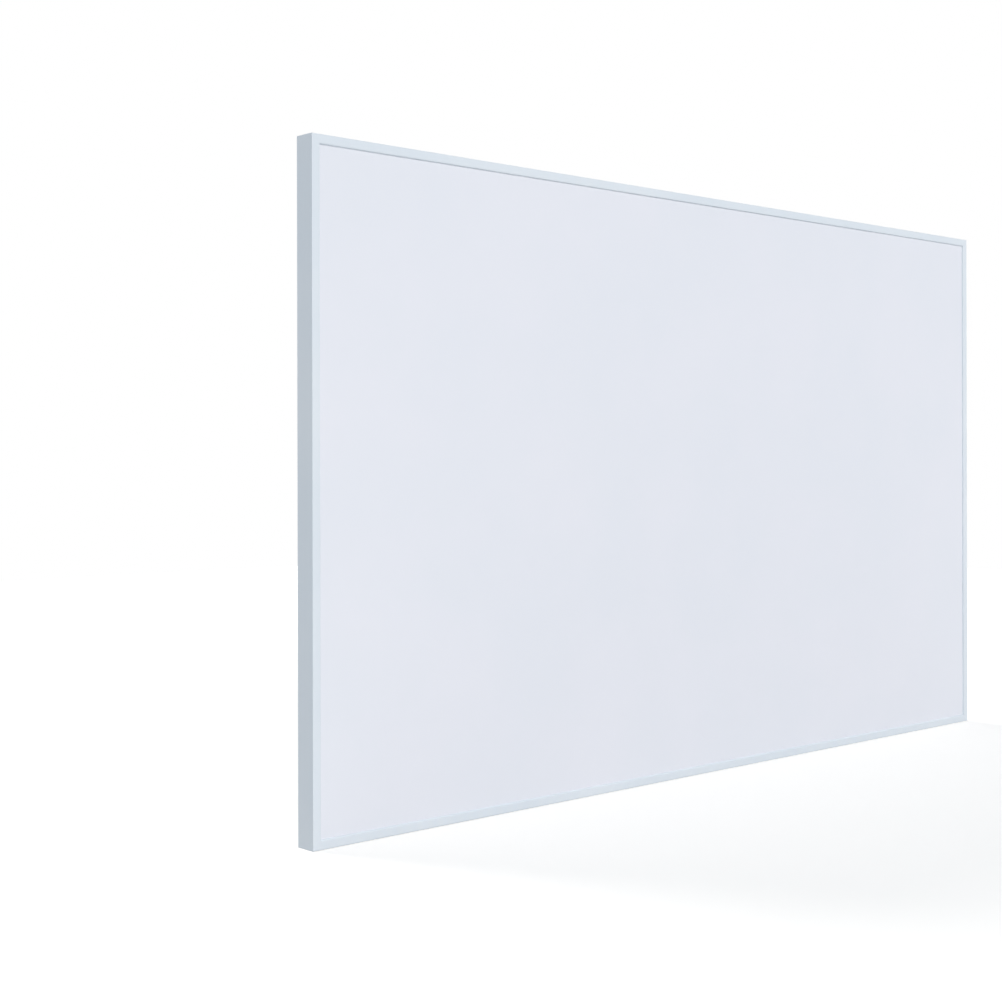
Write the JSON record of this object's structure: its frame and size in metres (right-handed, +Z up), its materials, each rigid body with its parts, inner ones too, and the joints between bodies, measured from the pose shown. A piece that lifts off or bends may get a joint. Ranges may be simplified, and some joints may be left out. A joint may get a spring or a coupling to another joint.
{
  "type": "infrared panel heater",
  "caption": "Flat wall-hung infrared heater: framed panel with rear mounting rails, junction box and coiled mains cord with plug.",
  "frame": {"origin": "centre of the upper mounting rail's wall face", "axes": "+Z up, +X to the right as seen from the front, +Y out of the rear towards the wall; the warm face looks to -Y"},
  "size_m": [1, 0.0474, 0.6],
  "materials": {
    "frame_white": "white powder coat, satin",
    "front_white": "pale powder coat, fine and even, matt",
    "cover_grey": "warm light grey coat, slightly mottled",
    "rail_white": "white powder coat, satin",
    "black_plastic": "black moulded plastic, fine grain",
    "black_rubber": "black soft plastic",
    "white_pvc": "white moulded plastic, soft gloss",
    "zinc_steel": "zinc plated",
    "nickel": "nickel plated, polished",
    "copper": "bare copper strip",
    "brass": "bare brass",
    "aluminium": "plain aluminium",
    "mineral_board": "pressed mineral wool board",
    "film_black": "carbon heating film between clear sheets",
    "cream_plastic": "cream moulded plastic",
    "brown_phenolic": "brown phenolic",
    "red_silicone": "red silicone sleeve",
    "ceramic_white": "plain ceramic",
    "label_foil": "black foil label with two pale gold bars",
    "sticker_foil": "round foil sticker, green inside a white ring",
    "blue_film": "crumpled blue film"
  },
  "bodies": {
    "heater": {"frame_top": "frame_white", "frame_bottom": "frame_white", "frame_left": "frame_white", "frame_right": "frame_white", "frame_screw_top_1": "zinc_steel", "frame_screw_top_2": "zinc_steel", "frame_screw_bottom_1": "zinc_steel", "frame_screw_bottom_2": "zinc_steel", "frame_screw_left_1": "zinc_steel", "frame_screw_left_2": "zinc_steel", "frame_screw_right_1": "zinc_steel", "frame_screw_right_2": "zinc_steel", "corner_key_top_left": "zinc_steel", "corner_key_top_right": "zinc_steel", "corner_key_bottom_left": "zinc_steel", "corner_key_bottom_right": "zinc_steel", "front_panel": "front_white", "heating_film": "film_black", "bus_bar_top": "copper", "bus_bar_bottom": "copper", "insulation_board": "mineral_board", "back_cover": "cover_grey", "rail_upper": "rail_white", "rail_lower": "rail_white", "rail_cap_upper_left": "black_plastic", "rail_cap_upper_right": "black_plastic", "rail_cap_lower_left": "black_plastic", "rail_cap_lower_right": "black_plastic", "rail_rivet_upper_left": "aluminium", "rail_rivet_upper_right": "aluminium", "rail_rivet_lower_left": "aluminium", "rail_rivet_lower_right": "aluminium", "box_base": "black_plastic", "box_lid": "black_plastic", "box_screw_1": "zinc_steel", "box_screw_2": "zinc_steel", "rating_plate": "label_foil", "terminal_block": "cream_plastic", "terminal_screw_1": "brass", "terminal_screw_2": "brass", "cord_clamp": "cream_plastic", "cord_inner_end": "white_pvc", "cord_gland": "black_rubber", "lead_grommet": "black_rubber", "lead_wire_top": "red_silicone", "lead_wire_bottom": "red_silicone", "cutout_cap": "aluminium", "cutout_case": "brown_phenolic", "cutout_root_contact": "brass", "cutout_tip_contact": "brass", "round_sticker": "sticker_foil", "cord_lead": "white_pvc", "cord_coil": "white_pvc", "plug_body": "white_pvc", "plug_pin_1": "nickel", "plug_pin_2": "nickel", "tie_upper": "blue_film", "tie_lower": "blue_film"},
    "cutout_pin": {"cutout_pin": "ceramic_white"},
    "cutout_blade": {"cutout_blade": "brass"}
  },
  "joints": [
    {"name": "cutout_pin_slide", "type": "slide", "parent": "heater", "child": "cutout_pin", "axis": [0, 1, 0], "range_m": [0, 0.0005], "stiffness_N_per_m": 200},
    {"name": "cutout_blade_hinge", "type": "hinge", "parent": "heater", "child": "cutout_blade", "pos_m": [0.3966, -0.0132, -0.136], "axis": [0, 0, 1], "range_deg": [0, 6.1]}
  ],
  "couplings": [
    {"joint": "cutout_blade_hinge", "follows": "cutout_pin_slide", "rad_per_m": 210}
  ]
}
